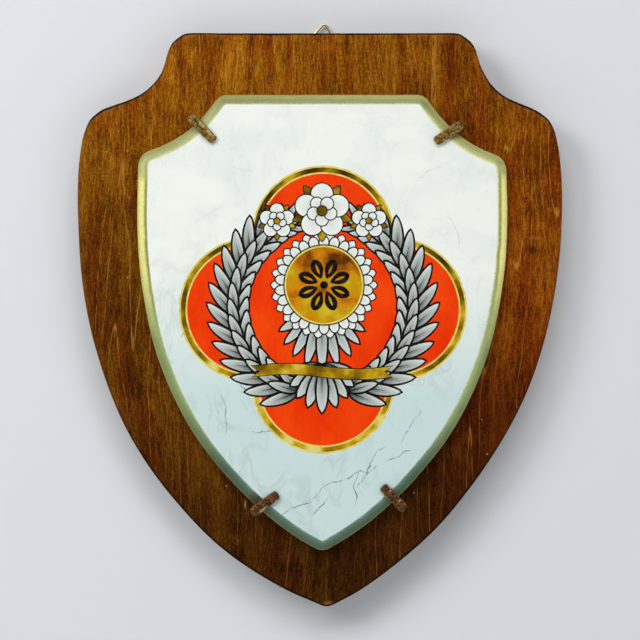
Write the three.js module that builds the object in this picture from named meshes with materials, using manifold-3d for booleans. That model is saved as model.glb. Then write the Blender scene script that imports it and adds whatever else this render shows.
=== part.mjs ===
import * as THREE from 'three';
import { mergeVertices } from 'three/addons/utils/BufferGeometryUtils.js';
import Module from 'manifold-3d';

// A wooden shield plaque with a glazed shield tile held on it by four hook nails.
// Millimetres, +Z up, the front faces -Y and the wall is on the +Y side.
// The origin is where a wall nail bears: inside the top bend of the hanging ring.

// Backboard
const BOARD_WIDTH = 291;
const BOARD_HEIGHT = 344.2;
const BOARD_THICKNESS = 18;
const BOARD_EASING = 1.1;
const BOARD_SHIFT = -2.7;

// Half outline of the board: drop as a part of the height, half width as a part of half the width
const BOARD_EDGE = [
  [0.0, 0.55], [0.0018, 0.57], [0.0055, 0.585], [0.0107, 0.602], [0.0163, 0.616],
  [0.0225, 0.626], [0.0307, 0.635], [0.04, 0.642], [0.0515, 0.649], [0.0612, 0.657],
  [0.0751, 0.674], [0.0891, 0.698], [0.1031, 0.734], [0.1136, 0.775], [0.1241, 0.836],
  [0.1328, 0.89], [0.1416, 0.922], [0.152, 0.948], [0.166, 0.965], [0.1835, 0.978],
  [0.2045, 0.987], [0.2307, 0.994], [0.2604, 0.9985], [0.2919, 1.0], [0.3478, 0.996],
  [0.4037, 0.987], [0.4596, 0.9695], [0.5156, 0.943], [0.5715, 0.906], [0.6274, 0.859],
  [0.6833, 0.798], [0.7393, 0.7205], [0.7917, 0.633], [0.8476, 0.523], [0.8756, 0.459],
  [0.9018, 0.39], [0.928, 0.31], [0.949, 0.2386], [0.9699, 0.158], [0.9804, 0.112],
  [0.9915, 0.055],
];

// How far the hand-sawn outline wanders sideways down the height, as a part of half the width
const BOARD_DRIFT = [
  [0.0, 0.0082], [0.08, 0.011], [0.105, 0.0055], [0.133, -0.0062], [0.16, -0.0014], [0.35, 0.0],
  [0.5, -0.0041], [0.6, -0.0048], [0.72, -0.0123], [0.79, -0.011], [0.85, -0.0075], [0.905, -0.0062],
  [0.93, -0.0014], [0.97, 0.013], [1.0, 0.0288],
];

// Shield tile: the face inside the gilt rim, and the rim sloping away from it
const FACE_WIDTH = 209.4;
const FACE_HEIGHT = 260.7;
const TILE_THICKNESS = 8;
const TILE_DROP = 43.5;
const TILE_SHIFT = 1.35;
const RIM_WIDTH = 6;
const RIM_FALL = 2.8;
const TILE_CHAMFER = 0.8;

// Face outline: top corner, then the bend and the side corner of each hollow shoulder
const SHOULDER_TOP = [0.0, 0.5555];
const SHOULDERS = {
  left: { bend: [0.0965, 0.71], side: [0.13, 0.993] },
  right: { bend: [0.103, 0.7136], side: [0.1396, 0.993] },
};

// Side of the face from below the shoulder down to the point
const FACE_SIDE = [
  [0.1785, 0.9966], [0.2471, 1.0], [0.3066, 0.997], [0.3616, 0.988], [0.4142, 0.9726],
  [0.4645, 0.9515], [0.514, 0.9264], [0.5616, 0.8945], [0.6078, 0.8528], [0.654, 0.8043],
  [0.7002, 0.7473], [0.746, 0.6788], [0.791, 0.5984], [0.8359, 0.5031], [0.8673, 0.4324],
  [0.9188, 0.2949], [0.9501, 0.1974], [0.9794, 0.0901], [1.0, 0.0],
];
const SHOULDER_TOP_SOFTENING = 1.2;
const SHOULDER_SIDE_SOFTENING = 3;
const POINT_SOFTENING = 1.2;

// Hook nails: where each crosses the face's edge, the way it points, and its reach out and in
const HOOKS = [
  { name: 'hook_nail_upper_left', side: 'left', drop: 0.059, heading: 135, out: 12.2, over: 9.4 },
  { name: 'hook_nail_upper_right', side: 'right', drop: 0.0712, heading: 33.6, out: 13.1, over: 7.2 },
  { name: 'hook_nail_lower_left', side: 'left', drop: 0.911, heading: 217.5, out: 11.6, over: 8.6 },
  { name: 'hook_nail_lower_right', side: 'right', drop: 0.8885, heading: -46.3, out: 14.6, over: 5.4 },
];
const HOOK_WIDTH = 5.3;
const HOOK_THICKNESS = 2.4;
const HOOK_BEND = 2.6;
const SPIKE_DEPTH = 11;

// Hanging ring of wire, the folded strap that holds it, and the strap's two nails
const WIRE_RADIUS = 0.65;
const RING_HEIGHT = 13;
const RING_HALF_ANGLE = 35;
const RING_BEND = 1.7;
const RING_SHOW = 6.5;
const HANGER_LEAN = 6;
const STRAP_WIDTH = 9;
const STRAP_LENGTH = 25;
const STRAP_SHEET = 0.6;
const STRAP_CORNER = 1.5;
const STRAP_NAIL_DROPS = [8, 19];
const NAIL_RADIUS = 0.8;
const NAIL_LENGTH = 10;
const NAIL_HEAD_RADIUS = 2;
const NAIL_HEAD_HEIGHT = 1;

// Clearance between pieces that touch
const GAP = 0.3;

// Facets on the long curves: the longest, and the most degrees that one turns from the last
const FACET_LENGTH = 14;
const FACET_TURN = 6;

// Positions that follow from the sizes above
const EYE_RADIUS = WIRE_RADIUS + GAP;
const EYE_OUTER = EYE_RADIUS + STRAP_SHEET;
const PIVOT_DROP = RING_HEIGHT + WIRE_RADIUS;
const BOARD_BACK = -(EYE_OUTER + GAP);
const BOARD_FRONT = BOARD_BACK - BOARD_THICKNESS;
const TILE_BACK = BOARD_FRONT - GAP;
const TILE_FRONT = TILE_BACK - TILE_THICKNESS;
const STRAP_FACE = 2 * STRAP_SHEET - EYE_OUTER;

const wasm = await Module();
wasm.setup();

// Reads a table of [drop, value] rows at any drop, in straight steps
function readTable(rows, drop) {
  const next = rows.findIndex((row) => row[0] >= drop);
  if (next < 0) {
    return rows.at(-1)[1];
  }
  if (next === 0) {
    return rows[0][1];
  }
  const [lowDrop, low] = rows[next - 1];
  const [highDrop, high] = rows[next];
  return THREE.MathUtils.mapLinear(drop, lowDrop, highDrop, low, high);
}

// Keeps only the points where a dense curve has turned or run on far enough
function thinned(points) {
  const kept = [points[0]];
  let heading = points[1].clone().sub(points[0]).angle();
  for (let i = 1; i < points.length - 1; i += 1) {
    const next = points[i + 1].clone().sub(points[i]).angle();
    const turned = Math.abs(Math.sin((next - heading) / 2)) * 2;
    const far = points[i].distanceTo(kept.at(-1)) > FACET_LENGTH;
    if (turned > THREE.MathUtils.degToRad(FACET_TURN) || far) {
      kept.push(points[i]);
      heading = next;
    }
  }
  kept.push(points.at(-1));
  return kept;
}

// Moves every point of a counter-clockwise outline outwards, square to its edges
function outset(points, distance) {
  return points.map((point, i) => {
    const into = point.clone().sub(points.at(i - 1)).normalize();
    const away = points[(i + 1) % points.length].clone().sub(point).normalize();
    const normal = new THREE.Vector2(into.y + away.y, -into.x - away.x).normalize();
    const reach = distance / normal.dot(new THREE.Vector2(away.y, -away.x));
    return point.clone().addScaledVector(normal, reach);
  });
}

// Skins matching loops in order; flat caps close the ends, or the last loop meets the first
function skin(loops, cap) {
  const count = loops[0].length;
  const spans = cap ? loops.length - 1 : loops.length;
  const index = [];
  for (let k = 0; k < spans; k += 1) {
    const near = k * count;
    const far = ((k + 1) % loops.length) * count;
    for (let i = 0; i < count; i += 1) {
      const j = (i + 1) % count;
      index.push(near + i, near + j, far + j, near + i, far + j, far + i);
    }
  }
  if (cap) {
    const last = (loops.length - 1) * count;
    for (const [a, b, c] of THREE.ShapeUtils.triangulateShape(cap, [])) {
      index.push(a, c, b, last + a, last + b, last + c);
    }
  }
  const geometry = new THREE.BufferGeometry();
  const positions = loops.flat().flatMap((p) => [p.x, p.y, p.z]);
  geometry.setAttribute('position', new THREE.Float32BufferAttribute(positions, 3));
  geometry.setIndex(index);
  return geometry;
}

// A plate seen from the front: levels of [outset, y] from the back face to the front face
function plate(outline, levels) {
  const loops = levels.map(([grow, y]) => {
    const loop = grow === 0 ? outline : outset(outline, grow);
    return loop.map((p) => new THREE.Vector3(p.x, y, p.y));
  });
  return skin(loops, outline);
}

function toManifold(geometry) {
  const bare = geometry.clone();
  bare.deleteAttribute('normal');
  bare.deleteAttribute('uv');
  const merged = mergeVertices(bare, 1e-5);
  return new wasm.Manifold(new wasm.Mesh({
    numProp: 3,
    vertProperties: new Float32Array(merged.getAttribute('position').array),
    triVerts: new Uint32Array(merged.getIndex().array),
  }));
}

function toGeometry(solid) {
  const mesh = solid.getMesh();
  const geometry = new THREE.BufferGeometry();
  geometry.setAttribute('position', new THREE.BufferAttribute(mesh.vertProperties, 3));
  geometry.setIndex(new THREE.BufferAttribute(mesh.triVerts, 1));
  geometry.computeVertexNormals();
  return geometry;
}

function namedMesh(name, geometry, color, roughness, metalness) {
  const material = new THREE.MeshStandardMaterial({ color, roughness, metalness });
  geometry.computeVertexNormals();
  const mesh = new THREE.Mesh(geometry, material);
  mesh.name = name;
  return mesh;
}

// Board outline, counter-clockwise from the front, with the drop measured from its top edge
function boardOutline() {
  const at = (side) => BOARD_EDGE.map(([drop, width]) => new THREE.Vector3(
    (side * width + readTable(BOARD_DRIFT, drop)) * BOARD_WIDTH / 2,
    -drop * BOARD_HEIGHT,
    0,
  ));
  const point = new THREE.Vector3(readTable(BOARD_DRIFT, 1) * BOARD_WIDTH / 2, -BOARD_HEIGHT, 0);
  const path = [...at(-1), point, ...at(1).reverse()];
  const curve = new THREE.CatmullRomCurve3(path, false, 'centripetal');
  const dense = curve.getSpacedPoints(1600).map((p) => new THREE.Vector2(p.x, p.y));
  return thinned(dense);
}

// Part of a curve by length from its start, or back from its end where the second length is negative
function stretch(curve, from, to, count) {
  const length = curve.getLength();
  const end = to < 0 ? length + to : to;
  return Array.from({ length: count + 1 }, (_, i) => (
    curve.getPointAt(THREE.MathUtils.lerp(from, end, i / count) / length)
  ));
}

// A softened corner between two points
function soften(from, corner, to) {
  return new THREE.QuadraticBezierCurve(from, corner, to).getPoints(12).slice(1, -1);
}

// One side of the face on the right, from the point up to the top corner
function faceRun({ bend, side }) {
  const place = ([drop, width]) => new THREE.Vector2(width * FACE_WIDTH / 2, -drop * FACE_HEIGHT);
  const top = place(SHOULDER_TOP);
  const corner = place(side);
  const flank = new THREE.SplineCurve([corner, ...FACE_SIDE.map(place)]);
  const hollow = new THREE.QuadraticBezierCurve(corner, place(bend), top);
  const lower = stretch(flank, SHOULDER_SIDE_SOFTENING, -POINT_SOFTENING, 500).reverse();
  const upper = stretch(hollow, SHOULDER_SIDE_SOFTENING, -SHOULDER_TOP_SOFTENING, 120);
  const start = new THREE.Vector2(top.x - SHOULDER_TOP_SOFTENING, top.y);
  return [
    ...lower,
    ...soften(lower.at(-1), corner, upper[0]),
    ...upper,
    ...soften(upper.at(-1), top, start),
    start,
  ];
}

// Face outline, counter-clockwise from the front, with the drop measured from its top edge
function faceOutline(runs) {
  const left = runs.left.map((p) => new THREE.Vector2(-p.x, p.y)).reverse();
  const point = new THREE.Vector2(0, -FACE_HEIGHT);
  const tip = soften(left.at(-1), point, runs.right[0]);
  return thinned([...runs.right, ...left, ...tip]);
}

// Where the face's edge is at a given drop, on one side
function faceEdge(runs, side, drop) {
  const run = runs[side];
  const z = -drop * FACE_HEIGHT;
  const i = run.findIndex((p) => p.y >= z);
  const x = THREE.MathUtils.mapLinear(z, run[i - 1].y, run[i].y, run[i - 1].x, run[i].x);
  return new THREE.Vector2(side === 'left' ? -x : x, z);
}

// Cross-section of a hook nail: a bar with its four long edges knocked off
function hookSection(width, thickness, grow) {
  const w = width / 2 + grow;
  const t = thickness / 2 + grow;
  const cut = Math.min(w, t) * 0.4;
  return [
    [w, -t + cut], [w, t - cut], [w - cut, t], [-w + cut, t],
    [-w, t - cut], [-w, -t + cut], [-w + cut, -t], [w - cut, -t],
  ];
}

// Hook nail in its own frame: +X outwards along the bar, -Y to the front, the tile's face at y = 0
function hookStations(out, over) {
  const t = HOOK_THICKNESS;
  const barY = -GAP - t / 2;
  const spikeX = out - t / 2;
  const wood = TILE_THICKNESS + GAP;
  const bend = [0, 1, 2, 3, 4].map((step) => {
    const turn = (step / 4) * Math.PI / 2;
    return {
      x: spikeX - HOOK_BEND + HOOK_BEND * Math.sin(turn),
      y: barY + HOOK_BEND - HOOK_BEND * Math.cos(turn),
      turn,
      width: HOOK_WIDTH * (1 - 0.04 * step / 4),
      thickness: t,
    };
  });
  const spike = (y, width, thickness) => (
    { x: spikeX, y, turn: Math.PI / 2, width: HOOK_WIDTH * width, thickness: t * thickness }
  );
  const bar = (x, rise, width, thickness) => (
    { x, y: barY + rise, turn: 0, width: HOOK_WIDTH * width, thickness: t * thickness }
  );
  return [
    bar(-over, 0.3, 0.7, 0.62),
    bar(-over + 0.9, 0.12, 0.8, 0.86),
    bar(-over * 0.4, 0, 0.88, 1),
    ...bend,
    spike(wood - 1, 0.8, 0.92),
    spike(wood + SPIKE_DEPTH * 0.5, 0.6, 0.75),
    spike(wood + SPIKE_DEPTH, 0.24, 0.4),
  ];
}

function hookSkin(stations, grow) {
  const loops = stations.map(({ x, y, turn, width, thickness }) => {
    const section = hookSection(width, thickness, grow);
    return section.map(([across, through]) => new THREE.Vector3(
      x + through * Math.sin(turn),
      y - through * Math.cos(turn),
      across,
    ));
  });
  const cap = hookSection(1, 1, 0).map(([a, b]) => new THREE.Vector2(a, b));
  return skin(loops, cap);
}

// The hole a spike leaves in the board, a little wider and deeper than the spike
function spikeHole(out, over) {
  const spike = hookStations(out, over).slice(-3);
  spike[0].y -= 1;
  spike[2].y += GAP;
  return hookSkin(spike, GAP);
}

// Ring: the middle line of its wire, a triangle with rounded corners, drawn clockwise from the back
function ringGeometry() {
  const half = THREE.MathUtils.degToRad(RING_HALF_ANGLE);
  const apexCentre = new THREE.Vector2(0, WIRE_RADIUS - RING_BEND);
  const run = RING_BEND / Math.sin(half) + apexCentre.y + PIVOT_DROP;
  const footX = run * Math.tan(half) - RING_BEND / Math.tan((Math.PI / 2 - half) / 2);
  const footCentre = new THREE.Vector2(footX, RING_BEND - PIVOT_DROP);
  const arc = (centre, from, to, steps) => Array.from({ length: steps + 1 }, (_, i) => {
    const angle = THREE.MathUtils.lerp(from, to, i / steps);
    return { centre, angle };
  });
  const path = [
    ...arc(footCentre, -Math.PI / 2, half, 6),
    ...arc(apexCentre, half, Math.PI - half, 6),
    ...arc(new THREE.Vector2(-footX, footCentre.y), Math.PI - half, Math.PI * 1.5, 6),
  ];
  const loops = path.map(({ centre, angle }) => Array.from({ length: 10 }, (_, i) => {
    const around = (i / 10) * Math.PI * 2;
    const reach = RING_BEND + WIRE_RADIUS * Math.cos(around);
    return new THREE.Vector3(
      centre.x + reach * Math.cos(angle),
      WIRE_RADIUS * Math.sin(around),
      centre.y + reach * Math.sin(angle),
    );
  }));
  return skin(loops, null);
}

// Strap: sheet folded round the ring's lower bar, with both leaves flat on the board
function strapGeometry() {
  const end = -PIVOT_DROP - STRAP_LENGTH;
  const lean = Math.acos((EYE_OUTER - 2 * STRAP_SHEET) / EYE_OUTER);
  const side = new THREE.Shape();
  side.moveTo(-EYE_OUTER, end);
  side.lineTo(STRAP_FACE, end);
  side.lineTo(STRAP_FACE, -PIVOT_DROP - EYE_OUTER * Math.sin(lean));
  side.absarc(0, -PIVOT_DROP, EYE_OUTER, -Math.PI + lean, Math.PI, false);
  side.closePath();
  const eye = new THREE.Path();
  eye.absarc(0, -PIVOT_DROP, EYE_RADIUS, 0, Math.PI * 2, true);
  side.holes.push(eye);
  const body = new THREE.ExtrudeGeometry(side, {
    depth: STRAP_WIDTH,
    bevelEnabled: false,
    curveSegments: 10,
  });
  body.translate(0, 0, -STRAP_WIDTH / 2);
  body.applyMatrix4(new THREE.Matrix4().makeBasis(
    new THREE.Vector3(0, 1, 0),
    new THREE.Vector3(0, 0, 1),
    new THREE.Vector3(1, 0, 0),
  ));
  const w = STRAP_WIDTH / 2 + 1;
  const c = STRAP_CORNER;
  const plan = new THREE.Shape();
  plan.moveTo(-w, -PIVOT_DROP + EYE_OUTER + 1);
  plan.lineTo(-w, end + c + 1);
  plan.lineTo(-w + 1, end + c);
  plan.quadraticCurveTo(-w + 1, end, -w + 1 + c, end);
  plan.lineTo(w - 1 - c, end);
  plan.quadraticCurveTo(w - 1, end, w - 1, end + c);
  plan.lineTo(w, end + c + 1);
  plan.lineTo(w, -PIVOT_DROP + EYE_OUTER + 1);
  plan.closePath();
  const outline = plan.getPoints(4);
  if (outline[0].equals(outline.at(-1))) {
    outline.pop();
  }
  const planSolid = plate(outline, [[0, 4], [0, -4]]);
  let solid = toManifold(body).intersect(toManifold(planSolid));
  for (const drop of STRAP_NAIL_DROPS) {
    solid = solid.subtract(toManifold(nailHole(drop)));
  }
  return toGeometry(solid);
}

// Round-headed nail in the hanger's frame, driven towards the front
function nailGeometry(drop) {
  const dome = [0, 1, 2, 3, 4].map((step) => {
    const turn = (step / 4) * Math.PI / 2;
    return new THREE.Vector2(NAIL_HEAD_RADIUS * Math.cos(turn), NAIL_HEAD_HEIGHT * Math.sin(turn));
  });
  dome[4].x = 0;
  const profile = [
    new THREE.Vector2(0, -NAIL_LENGTH),
    new THREE.Vector2(NAIL_RADIUS, -NAIL_LENGTH + 1.6),
    new THREE.Vector2(NAIL_RADIUS, 0),
    ...dome,
  ];
  const geometry = new THREE.LatheGeometry(profile, 16);
  geometry.translate(0, STRAP_FACE + GAP, -PIVOT_DROP - drop);
  return geometry;
}

function nailHole(drop) {
  const reach = NAIL_LENGTH + GAP * 2;
  const hole = new THREE.CylinderGeometry(NAIL_RADIUS + GAP, NAIL_RADIUS + GAP, reach, 16);
  hole.translate(0, STRAP_FACE + GAP * 2 - reach / 2, -PIVOT_DROP - drop);
  return hole;
}

const plaque = new THREE.Group();
const hanger = new THREE.Group();
hanger.rotation.y = THREE.MathUtils.degToRad(HANGER_LEAN);
plaque.add(hanger);

// Tile
const runs = { left: faceRun(SHOULDERS.left), right: faceRun(SHOULDERS.right) };
const tile = namedMesh('shield_tile', plate(faceOutline(runs), [
  [RIM_WIDTH - TILE_CHAMFER, TILE_BACK],
  [RIM_WIDTH, TILE_BACK - TILE_CHAMFER],
  [RIM_WIDTH, TILE_FRONT + RIM_FALL + 0.5],
  [RIM_WIDTH * 0.9, TILE_FRONT + RIM_FALL * 0.72],
  [RIM_WIDTH * 0.55, TILE_FRONT + RIM_FALL * 0.3],
  [RIM_WIDTH * 0.12, TILE_FRONT + RIM_FALL * 0.03],
  [0, TILE_FRONT],
]), '#e9ece6', 0.15, 0);
tile.position.set(BOARD_SHIFT + TILE_SHIFT, 0, -RING_SHOW - TILE_DROP);
plaque.add(tile);

// Hook nails, and the holes they are driven into
const cutters = [];
for (const hook of HOOKS) {
  const mesh = namedMesh(hook.name, hookSkin(hookStations(hook.out, hook.over), 0), '#6b4a38', 0.45, 0.8);
  const edge = faceEdge(runs, hook.side, hook.drop);
  mesh.position.set(edge.x, TILE_FRONT, edge.y);
  mesh.rotation.y = -THREE.MathUtils.degToRad(hook.heading);
  tile.add(mesh);
  mesh.updateWorldMatrix(true, false);
  cutters.push(spikeHole(hook.out, hook.over).applyMatrix4(mesh.matrixWorld));
}

// Hanging ring, strap and nails
hanger.add(namedMesh('hanging_ring', ringGeometry(), '#b9a05a', 0.3, 1));
hanger.add(namedMesh('hanger_strap', strapGeometry(), '#b08d4c', 0.35, 1));
hanger.updateWorldMatrix(true, false);
const nailNames = ['hanger_nail_upper', 'hanger_nail_lower'];
STRAP_NAIL_DROPS.forEach((drop, i) => {
  hanger.add(namedMesh(nailNames[i], nailGeometry(drop), '#b9a05a', 0.3, 1));
  cutters.push(nailHole(drop).applyMatrix4(hanger.matrixWorld));
});

// Backboard, eased along both faces, with its nail holes cut
const boardPlate = plate(boardOutline(), [
  [-BOARD_EASING, BOARD_BACK],
  [-BOARD_EASING * 0.3, BOARD_BACK - BOARD_EASING * 0.3],
  [0, BOARD_BACK - BOARD_EASING],
  [0, BOARD_FRONT + BOARD_EASING],
  [-BOARD_EASING * 0.3, BOARD_FRONT + BOARD_EASING * 0.3],
  [-BOARD_EASING, BOARD_FRONT],
]);
boardPlate.translate(BOARD_SHIFT, 0, -RING_SHOW);
let boardSolid = toManifold(boardPlate);
for (const cutter of cutters) {
  boardSolid = boardSolid.subtract(toManifold(cutter));
}
plaque.add(namedMesh('backboard', toGeometry(boardSolid), '#7a4a14', 0.5, 0));

export default plaque;
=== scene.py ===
"""Wall plaque: a stained wooden shield that carries a painted, glazed shield tile on four hook nails.

Lengths in the constants are millimetres in the plaque's own frame: +X to the viewer's right, +Z up,
and the painted front faces -Y. The origin is inside the top bend of the hanging ring.
"""

import math
from functools import partial

import bpy
import numpy as np
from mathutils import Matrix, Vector
from mathutils.geometry import delaunay_2d_cdt


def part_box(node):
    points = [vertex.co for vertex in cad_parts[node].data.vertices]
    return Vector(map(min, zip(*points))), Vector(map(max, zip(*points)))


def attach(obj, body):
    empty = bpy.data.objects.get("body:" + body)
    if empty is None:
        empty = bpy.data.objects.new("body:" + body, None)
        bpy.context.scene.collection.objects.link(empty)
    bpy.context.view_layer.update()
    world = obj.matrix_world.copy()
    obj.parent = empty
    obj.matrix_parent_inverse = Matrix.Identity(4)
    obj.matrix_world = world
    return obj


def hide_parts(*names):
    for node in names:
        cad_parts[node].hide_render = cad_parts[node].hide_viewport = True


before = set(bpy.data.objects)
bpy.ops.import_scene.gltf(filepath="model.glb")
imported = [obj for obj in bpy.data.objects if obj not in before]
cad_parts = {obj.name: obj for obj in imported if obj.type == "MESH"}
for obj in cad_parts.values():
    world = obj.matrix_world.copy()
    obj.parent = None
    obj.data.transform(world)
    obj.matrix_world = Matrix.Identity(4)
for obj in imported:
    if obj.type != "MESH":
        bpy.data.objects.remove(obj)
bpy.context.view_layer.update()

MM = 0.001

# Board: fineness and longest straight of its outline, easing of its edges, borders of the dust inside
# the front edge, reach of the dark line from each face, and size of the evenly shrunk middle
BOARD_STEP = 1
BOARD_STRAIGHT = 20
BOARD_EASING = 1.1
BOARD_BORDERS = (0.6, 1.4)
DARK_LINE = 2.4
BOARD_CORE = 0.96

# Wear of the eased edges: waves of this size, number round the board, and start
WEAR = ((0.12, 7, 1), (0.1, 17, 4), (0.08, 41, 0))

# Knots, worn spots and scratches in the board: place, width and height, strength and colour
MARKS = (
    ((125.5, -137), (10, 5), 0.5, "#2A1404"), ((124.5, -136.5), (3, 2.6), 0.6, "#2A1404"),
    ((127, -129.5), (6, 1.6), 0.3, "#B8742C"),
    ((-133.6, -157.8), (1.6, 2.6), 0.5, "#2A1404"), ((-96, -232), (1.2, 4), 0.4, "#2A1404"),
    ((71, -262), (1.4, 5), 0.4, "#2A1404"), ((18, -24), (1, 3.6), 0.35, "#2A1404"),
    ((2.6, -348.8), (4.4, 2), 0.45, "#A8683A"), ((-47.6, -289.3), (0.7, 3.4), 0.7, "#B99563"),
)

# Tile: fineness and longest straight of its outline, and its rim
TILE_STEP = 0.8
TILE_STRAIGHT = 16
RIM_WIDTH = 6
RIM_FALL = 2.8
RIM_FOOT = 0.5
TILE_CHAMFER = 0.8

# Hook nails: node, side of the tile, drop as a part of the face's height, heading, reach out and in
FACE_HEIGHT = 260.7
HOOKS = (
    ("hook_nail_upper_left", -1, 0.059, 135, 12.2, 9.4),
    ("hook_nail_upper_right", 1, 0.0712, 33.6, 13.1, 7.2),
    ("hook_nail_lower_left", -1, 0.911, 217.5, 11.6, 8.6),
    ("hook_nail_lower_right", 1, 0.8885, -46.3, 14.6, 5.4),
)
HOOK_WIDTH = 5.3
HOOK_THICKNESS = 2.4
HOOK_BEND = 2.6
SPIKE_DEPTH = 11
HOOK_STEP = 0.28
HOOK_DENTS = 42
HOOK_SEED = 31
TILE_THICKNESS = 8
GAP = 0.3

# Hanger: ring wire, folded strap and nails
WIRE_RADIUS = 0.65
RING_HEIGHT = 13
RING_HALF_ANGLE = 35
RING_BEND = 1.7
WIRE_STEP = 0.35
HANGER_LEAN = 6
STRAP_WIDTH = 9
STRAP_LENGTH = 25
STRAP_SHEET = 0.6
STRAP_STEP = 0.3
STRAP_CORNER = 1.5
STRAP_NAIL_DROPS = {"hanger_nail_upper": 8, "hanger_nail_lower": 19}
NAIL_RADIUS = 0.8
NAIL_LENGTH = 10
NAIL_HEAD_RADIUS = 2
NAIL_HEAD_HEIGHT = 1
PIVOT_DROP = RING_HEIGHT + WIRE_RADIUS
EYE_MIDDLE = WIRE_RADIUS + GAP + STRAP_SHEET / 2

# Heights of the board's and the face's top edges
BOARD_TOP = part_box("backboard")[1].z / MM
FACE_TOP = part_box("shield_tile")[1].z / MM - RIM_WIDTH

# Painted design: the panel's and the disc's middle and size, widths of a line and a bold line, how far
# in the gold band's parts and the red begin, the laurel's radius, rows and reach, and the white petals
PANEL = np.array([-0.9, FACE_TOP - 122.5])
PANEL_ARC = 43
PANEL_REACH = 80
DISC = np.array([-0.3, FACE_TOP - 107.8])
DISC_RADIUS = 24.3
LINE = 0.9
BOLD_LINE = 1.35
GOLD_BAND = (1.1, 3.9, 4.9)
LAUREL_RADIUS = 53
LAUREL_ROWS = 15
LAUREL_ARC = (64, -74)
PETALS = 26
PETAL_ROOT = 20

# Veins in the marbled glaze: spread of their kinks and of their slow turns in degrees, and for each
# its start from the panel's middle, heading, length and seed
VEIN_KINK = 13
VEIN_SWAY = 20
VEINS = (
    ((34, -92), 214, 54, 3), ((34, -92), 40, 22, 5), ((22, -96), 258, 24, 8), ((-4, -112), 200, 26, 11),
    ((38, -80), 232, 34, 14), ((58, -58), 238, 26, 17), ((-62, -50), 284, 26, 20), ((-52, -44), 296, 22, 21),
    ((-44, -72), 330, 18, 22), ((82, 34), 112, 26, 23), ((56, 78), 24, 20, 26), ((-78, 50), 48, 22, 29),
    ((-56, 86), 340, 16, 32), ((76, -10), 290, 16, 35), ((-84, -2), 250, 16, 38), ((-8, -126), 50, 18, 44),
)


def linear(colour):
    """sRGB hex to linear RGBA: c / 12.92 where dark, else ((c + 0.055) / 1.055) to the power 2.4."""
    parts = np.array([int(colour[i:i + 2], 16) for i in (1, 3, 5)]) / 255
    return (*np.where(parts <= 0.04045, parts / 12.92, ((parts + 0.055) / 1.055) ** 2.4), 1)


def filled(tree, node, sockets):
    """Sets sockets of a node to values or colours, or links them."""
    for key, value in sockets.items():
        if isinstance(value, bpy.types.NodeSocket):
            tree.links.new(value, node.inputs[key])
        else:
            node.inputs[key].default_value = linear(value) if isinstance(value, str) else value


def added(tree, kind, *values, sockets=range(5), out=0, stops=(), **named):
    """Adds one shader node with its settings, ramp stops and links, and gives one of its outputs.

    The values go to the listed sockets in turn. A name with a capital is a socket too, and any
    other is a setting. A Math node adds where no operation is named.
    """
    made = tree.nodes.new("ShaderNode" + kind)
    inputs = dict(zip(sockets, values))
    for name, value in named.items():
        if name[0].isupper():
            inputs[name] = value
        else:
            setattr(made, name, value)
    if stops:
        ramp = made.color_ramp.elements
        while len(ramp) < len(stops):
            ramp.new(0.5)
        for element, (position, colour) in zip(ramp, stops):
            element.position, element.color = position, linear(colour)
    filled(tree, made, inputs)
    return made.outputs[out]


def new_material(name):
    """A material, its node tree and its shader."""
    material = bpy.data.materials.new(name)
    material.use_nodes = True
    return material, material.node_tree, material.node_tree.nodes["Principled BSDF"]


def finished(recipe, *details, name=None):
    """A material, named for its recipe where no other name is given.

    The recipe gets a function that adds a node to the material's tree, and Object coordinates in
    millimetres. It gives the base colour and what goes into the other sockets.
    """
    material, tree, shader = new_material(name or recipe.__name__)
    add = partial(added, tree)
    place = add("VectorMath", Vector=add("TexCoord", out="Object"), Scale=1 / MM, operation="SCALE")
    colour, others = recipe(add, place, *details)
    filled(tree, shader, {"Base Color": colour, **others})
    return material


def noise(add, place, size, detail=2, rough=0.5, distortion=0):
    """Cloudy pattern from 0 to 1 whose features have this size or sizes in millimetres."""
    near = add("Mapping", Vector=place, Scale=tuple(1 / np.broadcast_to(size, 3)))
    return add("TexNoise", Vector=near, Scale=1, Detail=detail, Roughness=rough, Distortion=distortion)


def specks(add, place, size):
    """Distance from the nearest of scattered points, 1 being this size or sizes in millimetres."""
    near = add("Mapping", Vector=place, Scale=tuple(1 / np.broadcast_to(size, 3)))
    return add("TexVoronoi", Vector=near, Scale=1, out="Distance")


def near_spot(add, place, spot, size):
    """1 at a spot on the front, falling to 0 at an oblong `size` wide and high round it."""
    near = add("Mapping", Vector=place, Scale=(1 / size[0], 1e-4, 1 / size[1]))
    middle = (spot[0] / size[0], 0, spot[1] / size[1])
    away = add("VectorMath", near, middle, operation="DISTANCE", out=1)
    return add("MapRange", away, 0.25, 1, 1, 0)


def gathered(add, *parts):
    """Sum of patterns about 0.5: each pattern less 0.5, times its weight."""
    total = 0.5 - sum(weight for _, weight in parts) / 2
    for pattern, weight in parts:
        total = add("Math", pattern, weight, total, operation="MULTIPLY_ADD")
    return total


# Mix node for colours: its sockets for the factor and both colours, and its output
MIX = {"data_type": "RGBA", "sockets": (0, 6, 7), "out": 2}


def layered(add, tone, *layers, way="MIX"):
    """Colours laid over a tone in turn, each as much as the product of the values after it."""
    for colour, strength, *others in layers:
        for other in others:
            strength = add("Math", strength, other, operation="MULTIPLY")
        tone = add("Mix", strength, tone, colour, blend_type=way, **MIX)
    return tone


# Outlines

def full_turn(count):
    """Even angles round a full turn, in radians."""
    return np.linspace(0, 2 * np.pi, count, endpoint=False)


def towards(angle):
    """Unit vector (cos a, sin a) at an angle in radians, or one for each of several."""
    return np.stack([np.cos(angle), np.sin(angle)], -1)


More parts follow.
